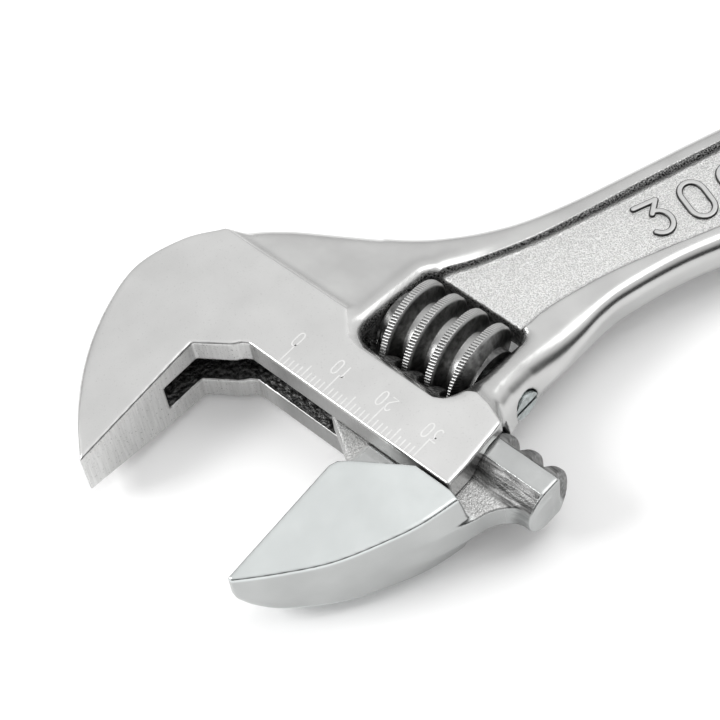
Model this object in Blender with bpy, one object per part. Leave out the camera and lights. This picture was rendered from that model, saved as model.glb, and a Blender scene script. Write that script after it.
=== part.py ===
"""Adjustable wrench, 300 mm: body, movable jaw, adjusting worm, worm pin and worm spring.

Row frame, in metres: +X runs along the handle away from the jaws, +Z is up, and the wrench lies flat.
The origin is on the flat underside of the head, on the handle's centre line, between the neck's front
face and the worm window. The head is turned by HEAD_ANGLE, so it has its own plan coordinates:
  u runs along the jaw faces, from the open mouth towards the handle;
  v runs along the jaw's travel, from the fixed jaw towards the movable jaw;
  (0, 0) is the throat corner, where the neck's front face starts.
Lengths below are in millimetres, and MM turns them into metres.
"""
import math

import bmesh
import bpy
from mathutils import Vector

MM = 0.001
GAP = 0.3  # clearance between sliding and touching pieces

# ---- frame ----
HEAD_ANGLE = math.radians(22.5)
THROAT = (-10.0, 7.2)  # the throat corner in the row frame
HALF_HEAD = 8.35  # half the head's thickness
MID_Z = HALF_HEAD  # height of the wrench's mid plane over the face that it lies on

# ---- head and fixed jaw ----
NECK_END = 44.6
FIXED_FACE = -7.9
FACE_ROOT = -5.9
TIP = -33.6
TAPER = 0.125  # each jaw face falls by this much per millimetre towards the tip
SHOULDER_HALF = 4.3  # half thickness where the shoulders meet the handle

# ---- guide slot and bore ----
SLOT_HALF = 3.1
SLOT_DEPTH = -18.6
BORE_U = 11.3
BORE_RADIUS = 5.9

# ---- worm window ----
WINDOW_U = (12.9, 33.3)
WINDOW_V = (12.4, 33.8)
WINDOW_CORNER = 3.0

# ---- handle: its edges are (x, y) curves from the head to the round end ----
LENGTH = 300.0
EYE_RADIUS = 15.0
TIP_X = THROAT[0] + TIP * math.cos(HEAD_ANGLE) + FIXED_FACE * math.sin(HEAD_ANGLE)
EYE_X = TIP_X + LENGTH - EYE_RADIUS
HOLE_RADIUS = 6.5
HANDLE_HALF = 4.3
HANDLE_BEVEL = 1.2
UPPER_EDGE = ((20.8, 20.4), (32.0, 14.7), (44.7, 11.6), (55.0, 11.3), (71.0, 12.1), (86.0, 12.8),
              (130.0, 14.0), (185.0, 14.8), (EYE_X, EYE_RADIUS))
LOWER_EDGE = ((33.3, -19.8), (43.3, -15.8), (53.3, -12.6), (64.0, -11.5), (74.0, -11.8), (86.0, -12.4),
              (130.0, -13.8), (185.0, -14.8), (EYE_X, -EYE_RADIUS))
PANEL_DEPTH = 1.3
PANEL_UPPER = ((24.0, 8.6), (33.0, 6.5), (44.0, 5.9), (56.0, 6.3), (72.0, 7.3), (90.0, 8.2),
               (130.0, 9.4), (175.0, 10.1), (211.0, 10.3))
PANEL_LOWER = ((24.0, -13.0), (33.8, -10.1), (42.0, -8.0), (52.0, -7.1), (64.0, -7.3), (76.0, -7.8),
               (130.0, -9.2), (175.0, -10.1), (211.0, -10.3))

# ---- movable jaw ----
MOVING_FACE = 26.7  # jaw opening at rest is MOVING_FACE - FIXED_FACE
WEB_HALF = SLOT_HALF - GAP
WEB_START = 17.6
BAR_RADIUS = BORE_RADIUS - GAP
BAR_FLAT = 5.25  # half height at the bar's two flats
BAR_END = 56.5
TOOTH_ROOT = 13.6
TOOTH_DEPTH = BORE_U + BAR_RADIUS + 1.0 - TOOTH_ROOT  # the cutter runs out past the teeth's tips
TOOTH_GAP = (1.2, 2.15)  # half widths of the gap between teeth, at its root and where the cutter ends

# ---- worm, pin and spring ----
PITCH = 5.0
WORM_U = 23.4
WORM_RADIUS = 9.4  # the crests stand just proud of the head's flat faces
WORM_ROOT = 6.1
WORM_ENDS = (WINDOW_V[0] + GAP, WINDOW_V[1] - GAP)
WORM_CREST = 17.2  # v of a thread crest where it meets the rack
CREST_HALF = 0.8
FLANK_WIDTH = 0.75
END_CHAMFER = 0.6  # plain length at each end of the worm, before the thread rises
THREAD_RISE = 2.5  # how fast the thread's first turn rises to its full height
PIN_RADIUS = 2.0
PIN_START = 3.4
PIN_END = 41.3
PIN_HEAD_RADIUS = 2.8
PIN_HEAD_START = 35.2
POCKET_RADIUS = 3.5
POCKET_DEPTH = 6.0
WIRE_RADIUS = 0.35
SPRING_TURNS = 5
SPRING_START = WINDOW_V[0] + 0.25 + WIRE_RADIUS
DRIVER_SLOT = (0.8, 1.3)  # width and depth of the slot in the pin's head


# ---- scene helpers ----
def clear_scene():
    for item in list(bpy.data.objects):
        bpy.data.objects.remove(item, do_unlink=True)


def material(name, colour, roughness, metallic=1.0):
    made = bpy.data.materials.new(name)
    made.use_nodes = True
    shader = made.node_tree.nodes["Principled BSDF"]
    shader.inputs["Base Color"].default_value = (*colour, 1.0)
    shader.inputs["Roughness"].default_value = roughness
    shader.inputs["Metallic"].default_value = metallic
    return made


def add_object(name, bm, origin=(0.0, 0.0, 0.0), parent=None):
    """Makes an object from a bmesh in row frame millimetres, with its own origin."""
    bmesh.ops.recalc_face_normals(bm, faces=bm.faces)
    bmesh.ops.scale(bm, vec=(MM, MM, MM), verts=bm.verts)
    bmesh.ops.translate(bm, vec=-Vector(origin) * MM, verts=bm.verts)
    mesh = bpy.data.meshes.new(name)
    bm.to_mesh(mesh)
    bm.free()
    made = bpy.data.objects.new(name, mesh)
    bpy.context.collection.objects.link(made)
    made.parent = parent
    if parent is None:
        made.location = Vector(origin) * MM
    return made


def as_guide(item):
    item.hide_render = True
    item.display_type = "WIRE"
    return item


def boolean(item, operation, other):
    cut = item.modifiers.new(other.name, "BOOLEAN")
    cut.operation = operation
    cut.solver = "EXACT"
    cut.object = as_guide(other)


def finish_piece(item, look):
    item.data.materials.append(look)
    item.data.shade_smooth()
    item.data.set_sharp_from_angle(angle=math.radians(32))


# ---- plan geometry ----
def head_point(u, v, z=0.0):
    """Row frame millimetres of a head point; z is measured from the mid plane."""
    cos, sin = math.cos(HEAD_ANGLE), math.sin(HEAD_ANGLE)
    return Vector((THROAT[0] + cos * u + sin * v, THROAT[1] + sin * u - cos * v, MID_Z + z))


def smooth(points, steps=4):
    """A Catmull-Rom curve through the points, ends included."""
    padded = [points[0], *points, points[-1]]
    curve = []
    for index in range(len(points) - 1):
        a, b, c, d = (Vector(point) for point in padded[index:index + 4])
        for step in range(steps):
            t = step / steps
            curve.append(0.5 * (2 * b + (c - a) * t + (2 * a - 5 * b + 4 * c - d) * t ** 2
                                + (3 * b - a - 3 * c + d) * t ** 3))
    curve.append(Vector(points[-1]))
    return [tuple(point) for point in curve]


def arc(centre, radius, start, end, count):
    """Points on an arc; angles in degrees."""
    angles = [math.radians(start + (end - start) * i / (count - 1)) for i in range(count)]
    return [(centre[0] + radius * math.cos(a), centre[1] + radius * math.sin(a)) for a in angles]


def loft(rings):
    """A closed solid through rings of equal length, capped at both ends."""
    bm = bmesh.new()
    rows = [[bm.verts.new(point) for point in ring] for ring in rings]
    for low, high in zip(rows, rows[1:]):
        for index in range(len(low)):
            after = (index + 1) % len(low)
            bm.faces.new((low[index], low[after], high[after], high[index]))
    bm.faces.new(rows[0][::-1])
    bm.faces.new(rows[-1])
    return bm


def head_prism(outline, low, high):
    """Extrudes a (u, v) outline between two heights over the mid plane."""
    return loft([[head_point(u, v, z) for u, v in outline] for z in (low, high)])


def plan_prism(outline, low, high):
    """Extrudes a row frame (x, y) outline between two heights over the mid plane."""
    return loft([[Vector((x, y, MID_Z + z)) for x, y in outline] for z in (low, high)])


def rounded_box(u_range, v_range, radius, count=5):
    """A (u, v) rectangle with round corners."""
    (u0, u1), (v0, v1) = u_range, v_range
    corners = (((u1 - radius, v1 - radius), 0), ((u0 + radius, v1 - radius), 90),
               ((u0 + radius, v0 + radius), 180), ((u1 - radius, v0 + radius), 270))
    points = []
    for centre, start in corners:
        points += arc(centre, radius, start, start + 90, count)
    return points


def rod(u, v_start, v_end, radius, segments=32, half_height=None):
    """A round bar along v; half_height cuts a flat on its top and its underside."""
    rings = []
    for v in (v_start, v_end):
        ring = []
        for step in range(segments):
            angle = 2 * math.pi * (step + 0.5) / segments
            z = radius * math.sin(angle)
            if half_height is not None:
                z = max(-half_height, min(half_height, z))
            ring.append(head_point(u + radius * math.cos(angle), v, z))
        rings.append(ring)
    return loft(rings)


# ---- body ----
def jaw_half(u):
    """Half thickness of a jaw at u: full at the root, thinner towards the tip."""
    return HALF_HEAD - TAPER * max(0.0, FACE_ROOT - u)


def body_head():
    """Head and fixed jaw: flat faces at full thickness, sloping down over the shoulders."""
    mouth = [(0.0, NECK_END), (0.0, 0.0), (-2.0, -2.2), (FACE_ROOT, FIXED_FACE), (TIP, FIXED_FACE)]
    back = smooth([(TIP, FIXED_FACE), (-25.8, -16.5), (-17.7, -22.3), (-9.2, -25.9), (-0.1, -27.5),
                   (9.1, -25.0), (14.9, -20.9)], 3)[1:]
    shoulder = [  # a point on the flat face, and the point on the silhouette that it slopes to
        ((15.3, -15.0), (24.2, -13.9)), ((15.4, -8.0), (28.6, -6.9)), ((15.5, 0.0), (33.4, -0.1)),
        ((15.5, 5.0), (37.8, 5.4)), ((15.5, 8.4), (41.6, 9.4)), ((11.1, 12.0), (50.0, 14.6)),
        ((11.1, 33.0), (50.0, 40.6)), ((15.6, 34.2), (40.0, 41.2)), ((16.3, 37.0), (27.0, 41.4)),
        ((14.4, 43.2), (16.5, 43.2))]
    pairs = [(point, point) for point in mouth + back] + shoulder
    rings = []
    for side in (-1, 1):
        levels = [[], []]
        for (u, v), (far_u, far_v) in pairs:
            levels[0].append(head_point(u, v, side * jaw_half(u)))
            levels[1].append(head_point(far_u, far_v, side * SHOULDER_HALF))
        rings += levels if side < 0 else levels[::-1]
    return add_object("body_head", loft(rings))


def rounded_strip(upper, lower, inset=0.0):
    """The outline between two edge curves, moved in by inset, with a half-round far end."""
    top = [(x, y - inset) for x, y in smooth(upper, 3)]
    bottom = [(x, y + inset) for x, y in smooth(lower, 3)]
    radius = top[-1][1]
    return top[:-1] + arc((top[-1][0], 0.0), radius, 90, -90, 15) + bottom[-2::-1]


def body_handle():
    rings = []
    for z, inset in ((-HANDLE_HALF, HANDLE_BEVEL), (-HANDLE_HALF + HANDLE_BEVEL, 0.0),
                     (HANDLE_HALF - HANDLE_BEVEL, 0.0), (HANDLE_HALF, HANDLE_BEVEL)):
        outline = rounded_strip(UPPER_EDGE, LOWER_EDGE, inset)
        rings.append([Vector((x, y, MID_Z + z)) for x, y in outline])
    return add_object("body_handle", loft(rings))


def make_body(look):
    body = body_head()
    body.name = "wrench_body"
    boolean(body, "UNION", body_handle())
    for side, label in ((1, "upper"), (-1, "lower")):
        low, high = sorted((side * (HANDLE_HALF - PANEL_DEPTH), side * (HALF_HEAD + 1.0)))
        panel = add_object(f"panel_cut_{label}", plan_prism(
            rounded_strip(PANEL_UPPER, PANEL_LOWER), low, high))
        boolean(body, "DIFFERENCE", panel)
    hole = plan_prism(arc((EYE_X, 0.0), HOLE_RADIUS, 0, 337.5, 16), -HALF_HEAD, HALF_HEAD)
    boolean(body, "DIFFERENCE", add_object("hole_cut", hole))
    window = head_prism(rounded_box(WINDOW_U, WINDOW_V, WINDOW_CORNER), -HALF_HEAD - 1, HALF_HEAD + 1)
    boolean(body, "DIFFERENCE", add_object("window_cut", window))
    outer = NECK_END + 5.0
    relief = smooth([(-14.2, FIXED_FACE), (-11.5, -11.6), (-6.5, -15.9), (0.0, SLOT_DEPTH)], 3)
    slot = head_prism([(BORE_U, outer), (-20.0, outer), (-20.0, FIXED_FACE + 1.0),
                       (-14.2, FIXED_FACE + 1.0), *relief, (BORE_U, SLOT_DEPTH)], -SLOT_HALF, SLOT_HALF)
    boolean(body, "DIFFERENCE", add_object("slot_cut", slot))
    bore = rod(BORE_U, SLOT_DEPTH, outer, BORE_RADIUS)
    boolean(body, "DIFFERENCE", add_object("bore_cut", bore))
    pin_bore = rod(WORM_U, PIN_START - GAP, NECK_END, PIN_RADIUS + GAP, 16)
    boolean(body, "DIFFERENCE", add_object("pin_bore_cut", pin_bore))
    head_bore = rod(WORM_U, PIN_HEAD_START - GAP, NECK_END, PIN_HEAD_RADIUS + GAP, 16)
    boolean(body, "DIFFERENCE", add_object("pin_head_cut", head_bore))
    finish_piece(body, look)


# ---- movable jaw ----
def tooth_gap(crest_v):
    """The space between two rack teeth, for the worm thread whose crest is at crest_v."""
    lead = math.atan2(PITCH, math.pi * (WORM_RADIUS + WORM_ROOT))
    depth = TOOTH_ROOT + TOOTH_DEPTH
    root_half, end_half = TOOTH_GAP
    rings = []
    for z in (-BAR_RADIUS - 1.0, BAR_RADIUS + 1.0):
        shift = crest_v - z * math.tan(lead)
        rings.append([head_point(u, shift + dv, z) for u, dv in (
            (TOOTH_ROOT, -root_half), (depth, -end_half), (depth, end_half), (TOOTH_ROOT, root_half))])
    return loft(rings)


def make_jaw(look):
    origin = head_point(BORE_U, MOVING_FACE)
    jaw_axis = bpy.data.objects.new("jaw_slide_axis", None)
    bpy.context.collection.objects.link(jaw_axis)
    jaw_axis.location = origin * MM
    edge = -GAP - 0.1
    back = smooth([(edge - 0.6, 47.4), (-7.6, 45.8), (-13.4, 43.3), (-21.3, 38.8), (-27.9, 33.2),
                   (TIP, 27.6)], 3)
    outline = [(TIP, MOVING_FACE), (-9.0, MOVING_FACE), (-7.6, 27.3), (-6.3, 28.9), (edge, 37.9),
               (edge, 45.4), *back]
    rings = [[head_point(u, v, side * jaw_half(u)) for u, v in outline] for side in (-1, 1)]
    jaw = add_object("movable_jaw", loft(rings), origin, jaw_axis)
    gusset = smooth([(0.6, WEB_START), (-1.6, 21.4), (-3.6, 24.6), (-6.0, 27.2), (-10.5, 29.5)], 3)
    heel = smooth([(-5.0, 46.0), (-2.0, 49.0), (0.4, 49.9), (2.1, 50.4), (3.9, 51.4), (5.8, 53.2),
                   (7.1, 54.8), (7.7, BAR_END)], 2)
    web = head_prism([*gusset, *heel, (BORE_U, BAR_END), (BORE_U, WEB_START)], -WEB_HALF, WEB_HALF)
    boolean(jaw, "UNION", add_object("web", web))
    bar = rod(BORE_U, WEB_START, BAR_END, BAR_RADIUS, 32, BAR_FLAT)
    boolean(jaw, "UNION", add_object("guide_bar", bar))
    crest = WORM_CREST
    while crest < BAR_END + PITCH / 2:
        boolean(jaw, "DIFFERENCE", add_object(f"tooth_gap_{crest:.0f}", tooth_gap(crest)))
        crest += PITCH
    finish_piece(jaw, look)


# ---- worm ----
def thread_radius(turn, v):
    """Radius of the worm at an angle (in turns, from the rack side over the top) and at v."""
    crest = WORM_CREST - turn * PITCH
    offset = abs((v - crest + PITCH / 2) % PITCH - PITCH / 2)
    flank = min(1.0, max(0.0, (offset - CREST_HALF) / FLANK_WIDTH))
    radius = WORM_RADIUS - (WORM_RADIUS - WORM_ROOT) * flank
    end = min(v - WORM_ENDS[0], WORM_ENDS[1] - v)
    return min(radius, WORM_ROOT + max(0.0, end - END_CHAMFER) * THREAD_RISE)


def make_worm(look):
    origin = head_point(WORM_U, sum(WORM_ENDS) / 2)
    worm_axis = bpy.data.objects.new("worm_axis", None)
    bpy.context.collection.objects.link(worm_axis)
    worm_axis.location = origin * MM
    segments, rows = 36, 44
    low, high = WORM_ENDS
    bm = bmesh.new()

    def ring(v, radius_at):
        points = []
        for step in range(segments):
            turn = step / segments
            radius = radius_at(turn)
            angle = math.pi - 2 * math.pi * turn
            points.append(bm.verts.new(head_point(
                WORM_U + radius * math.cos(angle), v, radius * math.sin(angle))))
        return points

    bore = PIN_RADIUS + GAP
    loops = []
    for row in range(rows + 1):
        v = low + (high - low) * row / rows
        loops.append(ring(v, lambda turn, v=v: thread_radius(turn, v)))
    loops.append(ring(high, lambda turn: bore))
    loops.append(ring(low + POCKET_DEPTH, lambda turn: bore))
    loops.append(ring(low + POCKET_DEPTH, lambda turn: POCKET_RADIUS))
    loops.append(ring(low, lambda turn: POCKET_RADIUS))
    for first, second in zip(loops, loops[1:] + loops[:1]):
        for index in range(segments):
            after = (index + 1) % segments
            bm.faces.new((first[index], first[after], second[after], second[index]))
    finish_piece(add_object("worm", bm, origin, worm_axis), look)


# ---- pin and spring ----
def make_pin(look):
    origin = head_point(WORM_U, PIN_END)
    pin = add_object("worm_pin", rod(WORM_U, PIN_START, PIN_HEAD_START + 0.5, PIN_RADIUS, 16), origin)
    head = add_object("pin_head", rod(WORM_U, PIN_HEAD_START, PIN_END, PIN_HEAD_RADIUS, 24))
    boolean(pin, "UNION", head)
    width, depth = DRIVER_SLOT
    wide = PIN_HEAD_RADIUS + 1.0
    groove = head_prism([(WORM_U - wide, PIN_END - depth), (WORM_U + wide, PIN_END - depth),
                         (WORM_U + wide, PIN_END + 1.0), (WORM_U - wide, PIN_END + 1.0)], -width / 2, width / 2)
    boolean(pin, "DIFFERENCE", add_object("driver_slot", groove))
    finish_piece(pin, look)


def make_spring(look):
    mean = (PIN_RADIUS + POCKET_RADIUS) / 2
    low = SPRING_START
    high = WORM_ENDS[0] + POCKET_DEPTH - GAP - WIRE_RADIUS
    steps, sides = 12, 6
    count = SPRING_TURNS * steps
    rings = []
    for index in range(count + 1):
        angle = 2 * math.pi * index / steps
        v = low + (high - low) * index / count
        across = Vector((math.cos(angle), 0.0, math.sin(angle)))
        ring = []
        for side in range(sides):
            turn = 2 * math.pi * side / sides
            out = mean + WIRE_RADIUS * math.cos(turn)
            ring.append(head_point(WORM_U + out * across.x, v + WIRE_RADIUS * math.sin(turn), out * across.z))
        rings.append(ring)
    finish_piece(add_object("worm_spring", loft(rings), head_point(WORM_U, low)), look)


def main():
    clear_scene()
    make_body(material("body_steel", (0.60, 0.60, 0.59), 0.32))
    make_jaw(material("jaw_steel", (0.62, 0.64, 0.62), 0.30))
    make_worm(material("worm_steel", (0.30, 0.30, 0.30), 0.35))
    make_pin(material("pin_steel", (0.50, 0.56, 0.52), 0.35))
    make_spring(material("spring_steel", (0.42, 0.42, 0.42), 0.35))


main()
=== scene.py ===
"""Looks of the adjustable wrench: fine surfaces, materials, floor, light and camera.

Lengths are in millimetres until a mesh is made. Plan coordinates: (x, y) is the row frame, and (u, v) is
the head's own frame, turned by HEAD_ANGLE about the throat corner. u runs from the mouth towards the
handle, v from the fixed jaw towards the movable jaw. Heights z are measured from the wrench's mid plane.
Each forging is a signed field, negative inside, that is sampled on a grid and meshed at its zero level.
"""

import math

import bmesh
import bpy
import numpy as np
from mathutils import Matrix, Vector


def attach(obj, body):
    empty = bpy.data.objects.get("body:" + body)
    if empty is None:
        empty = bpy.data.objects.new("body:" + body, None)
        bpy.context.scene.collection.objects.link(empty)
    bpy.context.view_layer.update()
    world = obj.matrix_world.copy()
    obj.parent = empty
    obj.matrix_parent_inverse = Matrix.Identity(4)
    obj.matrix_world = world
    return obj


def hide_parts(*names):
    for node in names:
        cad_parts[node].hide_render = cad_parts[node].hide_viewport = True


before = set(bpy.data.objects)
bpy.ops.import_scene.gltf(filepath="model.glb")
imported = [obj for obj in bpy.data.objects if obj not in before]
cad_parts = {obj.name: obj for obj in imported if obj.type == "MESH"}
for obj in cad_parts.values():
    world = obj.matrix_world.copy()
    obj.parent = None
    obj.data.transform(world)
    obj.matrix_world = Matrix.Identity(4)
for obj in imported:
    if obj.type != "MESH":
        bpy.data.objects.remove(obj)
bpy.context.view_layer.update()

MM = 0.001

# ---- frame and head, as in the CAD ----
HEAD_ANGLE = math.radians(22.5)
COS, SIN = math.cos(HEAD_ANGLE), math.sin(HEAD_ANGLE)
THROAT = (-10.0, 7.2)
HALF_HEAD = 8.35
NECK_END = 44.6
FIXED_FACE = -7.9
FACE_ROOT = -5.9
TIP = -33.6
TAPER = 0.125
SLOT_HALF = 3.1
SLOT_DEPTH = -18.6
BORE_U = 11.3
BORE_RADIUS = 5.9
WINDOW_U = (12.9, 33.3)
WINDOW_V = (12.4, 33.8)
WINDOW_CORNER = 3.0
PIN_BORE = 2.3
PIN_HEAD_BORE = 3.1
PIN_HEAD_START = 34.9

# ---- handle ----
LENGTH = 300.0
HANDLE_HALF = 4.3
EYE_RADIUS = 15.0
TIP_X = THROAT[0] + TIP * COS + FIXED_FACE * SIN
EYE_X = TIP_X + LENGTH - EYE_RADIUS
HOLE_RADIUS = 6.5
PANEL_END = (211.0, 0.0)
PANEL_END_RADIUS = 10.3
PANEL_FLOOR = 3.0              # height of the blasted panel over the mid plane

# ---- movable jaw, worm and pin ----
MOVING_FACE = 26.7
WEB_HALF = 2.8
WEB_START = 17.6
BAR_RADIUS = 5.6
BAR_FLAT = 5.25
BAR_END = 56.5
TOOTH_ROOT = 13.6
TOOTH_GAP = 1.2
TOOTH_SLOPE = 0.22
PITCH = 5.0
WORM_U = 23.4
WORM_RADIUS = 9.4
WORM_ROOT = 6.1
WORM_ENDS = (12.7, 33.5)
WORM_CREST = 17.2
PIN_RADIUS = 2.0

VOXEL = 0.3      # grid step of the forgings' fields


# ---- plan geometry ----
def to_row(u, v):
    return THROAT[0] + COS * u + SIN * v, THROAT[1] + SIN * u - COS * v


def to_head(x, y):
    dx, dy = x - THROAT[0], y - THROAT[1]
    return COS * dx + SIN * dy, SIN * dx - COS * dy


def smooth(points, steps=6):
    """A Catmull-Rom curve through plan points, ends included."""
    padded = [points[0], *points, points[-1]]
    curve = []
    for index in range(len(points) - 1):
        a, b, c, d = (np.array(point, float) for point in padded[index:index + 4])
        for step in range(steps):
            t = step / steps
            curve.append(tuple(0.5 * (2 * b + (c - a) * t + (2 * a - 5 * b + 4 * c - d) * t ** 2
                                      + (3 * b - a - 3 * c + d) * t ** 3)))
    return curve + [tuple(points[-1])]


def arc(centre, radius, start, end, count):
    angles = np.radians(np.linspace(start, end, count))
    return [(centre[0] + radius * math.cos(a), centre[1] + radius * math.sin(a)) for a in angles]


def outline_distance(u, v, outline):
    """Signed distance of plan points to a closed outline, negative inside."""
    nearest = np.full(u.shape, 1e9, np.float32)
    inside = np.zeros(u.shape, bool)
    corners = np.array(outline, np.float32)
    for (au, av), (bu, bv) in zip(corners, np.roll(corners, -1, axis=0)):
        eu, ev = bu - au, bv - av
        length = eu * eu + ev * ev
        if length < 1e-9:
            continue
        du, dv = u - au, v - av
        t = np.clip((du * eu + dv * ev) / length, 0.0, 1.0)
        nearest = np.minimum(nearest, (du - eu * t) ** 2 + (dv - ev * t) ** 2)
        if av != bv:
            inside ^= ((av > v) != (bv > v)) & (du < eu * dv / ev)
    return np.where(inside, -1.0, 1.0) * np.sqrt(nearest)


def box_distance(u, v, u_range, v_range, corner):
    """Signed distance to a (u, v) rectangle with round corners."""
    du = np.abs(u - sum(u_range) / 2) - (u_range[1] - u_range[0]) / 2 + corner
    dv = np.abs(v - sum(v_range) / 2) - (v_range[1] - v_range[0]) / 2 + corner
    outside = np.hypot(np.maximum(du, 0.0), np.maximum(dv, 0.0))
    return outside + np.minimum(np.maximum(du, dv), 0.0) - corner


def both(a, b, round_off):
    """Smooth maximum: the solid inside both fields, its edge rounded off."""
    blend = np.maximum(round_off - np.abs(a - b), 0.0)
    return np.maximum(a, b) + blend * blend / (4.0 * round_off)


def either(a, b, fillet):
    """Smooth minimum: the solid inside one field or the other, with a fillet."""
    return -both(-a, -b, fillet)


def ease(t):
    t = np.clip(t, 0.0, 1.0)
    return t * t * (3.0 - 2.0 * t)


def band(offset, low, high, soft):
    """1 between low and high, fading over soft on both sides."""
    return ease((offset - low) / soft + 0.5) * ease((high - offset) / soft + 0.5)


# ---- field to mesh ----
def surface_nets(field, axes):
    """Vertices and quads around a sampled field's zero level; the field is negative in the solid."""
    inside = field < 0.0
    cells = [n - 1 for n in field.shape]
    total = np.zeros(cells[0] * cells[1] * cells[2], np.float32)
    sums = [np.zeros_like(total) for _ in range(3)]
    edges = []
    for axis in range(3):
        low = [slice(None)] * 3
        high = [slice(None)] * 3
        low[axis], high[axis] = slice(None, -1), slice(1, None)
        low, high = tuple(low), tuple(high)
        index = np.nonzero(inside[low] != inside[high])
        others = [n for n in range(3) if n != axis]
        keep = np.ones(len(index[0]), bool)
        for other in others:
            keep &= (index[other] > 0) & (index[other] < field.shape[other] - 1)
        index = [part[keep] for part in index]
        after = list(index)
        after[axis] = index[axis] + 1
        start, end = field[tuple(index)], field[tuple(after)]
        t = start / (start - end)
        place = [axes[n][index[n]] for n in range(3)]
        place[axis] = place[axis] + t * (axes[axis][after[axis]] - axes[axis][index[axis]])
        ring = []
        for first, second in ((0, 0), (-1, 0), (-1, -1), (0, -1)):
            cell = list(index)
            cell[others[0]] = index[others[0]] + first
            cell[others[1]] = index[others[1]] + second
            flat = (cell[0] * cells[1] + cell[1]) * cells[2] + cell[2]
            ring.append(flat)
            total += np.bincount(flat, minlength=len(total)).astype(np.float32)
            for n in range(3):
                sums[n] += np.bincount(flat, weights=place[n], minlength=len(total)).astype(np.float32)
        quads = np.stack(ring, axis=1)
        turn = (start < 0.0) ^ (axis == 1)
        quads[~turn] = quads[~turn][:, ::-1]
        edges.append(quads)
    used = np.nonzero(total)[0]
    number = np.full(len(total), -1, np.int64)
    number[used] = np.arange(len(used))
    points = np.stack([part[used] / total[used] for part in sums], axis=1)
    return points, number[np.concatenate(edges)]


def mesh_object(name, points, faces, masks=None):
    """A mesh object from row frame millimetres over the face that the wrench lies on."""
    mesh = bpy.data.meshes.new(name)
    mesh.vertices.add(len(points))
    mesh.vertices.foreach_set("co", (points * MM).astype(np.float32).ravel())
    mesh.loops.add(faces.size)
    mesh.loops.foreach_set("vertex_index", faces.astype(np.int32).ravel())
    mesh.polygons.add(len(faces))
    sides = faces.shape[1]
    mesh.polygons.foreach_set("loop_start", np.arange(0, faces.size, sides, dtype=np.int32))
    mesh.polygons.foreach_set("loop_total", np.full(len(faces), sides, np.int32))
    mesh.update(calc_edges=True)
    for mask, values in (masks or {}).items():
        layer = mesh.attributes.new(mask, "FLOAT", "POINT")
        layer.data.foreach_set("value", values.astype(np.float32))
    mesh.shade_smooth()
    made = bpy.data.objects.new(name, mesh)
    bpy.context.collection.objects.link(made)
    return made


def head_to_row(points):
    """Turns (u, v, z) points into row frame (x, y, height)."""
    x, y = to_row(points[:, 0], points[:, 1])
    return np.stack([x, y, points[:, 2] + HALF_HEAD], axis=1)


def solid_object(name, solid, axes, masks=None):
    """Meshes solid(u, v, z), sampled column by column on a grid that is even about the mid plane."""
    grid_u, grid_v = np.meshgrid(axes[0], axes[1], indexing="ij")
    upper = axes[2][axes[2] > 0.0]
    half = solid(grid_u.ravel(), grid_v.ravel(), upper)
    half = half.reshape(len(axes[0]), len(axes[1]), len(upper))
    field = np.concatenate([half[:, :, ::-1], half], axis=2)
    points, faces = surface_nets(field, axes)
    values = masks(points) if masks else None
    return mesh_object(name, head_to_row(points), faces, values)


def even_heights(top, step):
    """Grid heights on both sides of the mid plane, none of them on it."""
    upper = np.arange(step / 2, top + step, step)
    return np.concatenate([-upper[::-1], upper]).astype(np.float32)


# ---- body ----
JAW_BACK = smooth([(TIP, FIXED_FACE), (-25.8, -16.5), (-17.7, -22.3), (-9.2, -25.9), (-0.1, -27.5),
                   (9.1, -25.0), (14.9, -21.0), (19.5, -17.9), (24.2, -13.0), (28.6, -6.9), (33.4, -0.1)])
UPPER_EDGE = smooth([(20.8, 20.4), (26.5, 17.1), (32.0, 14.7), (37.6, 12.9), (44.7, 11.6), (55.0, 11.3),
                     (71.0, 12.1), (86.0, 12.8), (130.0, 14.0), (185.0, 14.8), (EYE_X, EYE_RADIUS)])
LOWER_EDGE = smooth([(33.3, -19.8), (37.7, -18.1), (43.3, -15.6), (48.0, -13.7), (53.3, -12.5),
                     (64.0, -11.5), (74.0, -11.8), (86.0, -12.4), (130.0, -13.8), (185.0, -14.8),
                     (EYE_X, -EYE_RADIUS)])
HEAD_END = [(27.0, 41.4), (21.5, 41.9), (17.0, 43.0), (14.4, 43.7), (5.0, 44.5), (0.0, NECK_END)]
PANEL_UPPER = smooth([(24.0, 6.4), (27.5, 7.2), (33.0, 6.5), (44.0, 5.9), (56.0, 6.3), (72.0, 7.3),
                      (90.0, 8.2), (130.0, 9.4), (175.0, 10.1), (PANEL_END[0], PANEL_END_RADIUS)])
PANEL_LOWER = smooth([(33.8, -10.1), (37.7, -8.8), (42.0, -8.0), (52.0, -7.1), (64.0, -7.3), (76.0, -7.8),
                      (130.0, -9.2), (175.0, -10.1), (PANEL_END[0], -PANEL_END_RADIUS)])


def body_outline():
    mouth = [(0.0, 0.0), (-0.7, -1.2), (-2.0, -2.2), (FACE_ROOT, FIXED_FACE)]
    end = arc((EYE_X, 0.0), EYE_RADIUS, 90, -90, 25)[1:-1]
    handle = [to_head(x, y) for x, y in UPPER_EDGE[1:] + end + LOWER_EDGE[::-1]]
    return mouth + JAW_BACK + handle + HEAD_END


def panel_outline():
    """The recess in both faces: the handle's blasted panel, which runs into the worm window."""
    end = arc(PANEL_END, PANEL_END_RADIUS, 90, -90, 17)[1:-1]
    handle = [to_head(x, y) for x, y in PANEL_UPPER + end + PANEL_LOWER[::-1]]
    window = smooth([(31.5, 31.5), (22.0, 31.5), (16.5, 31.0), (14.5, 28.0), (14.5, 20.0), (14.8, 15.6),
                     (16.0, 13.8), (18.0, 13.2), (22.0, 13.4)])
    return handle + window


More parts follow.
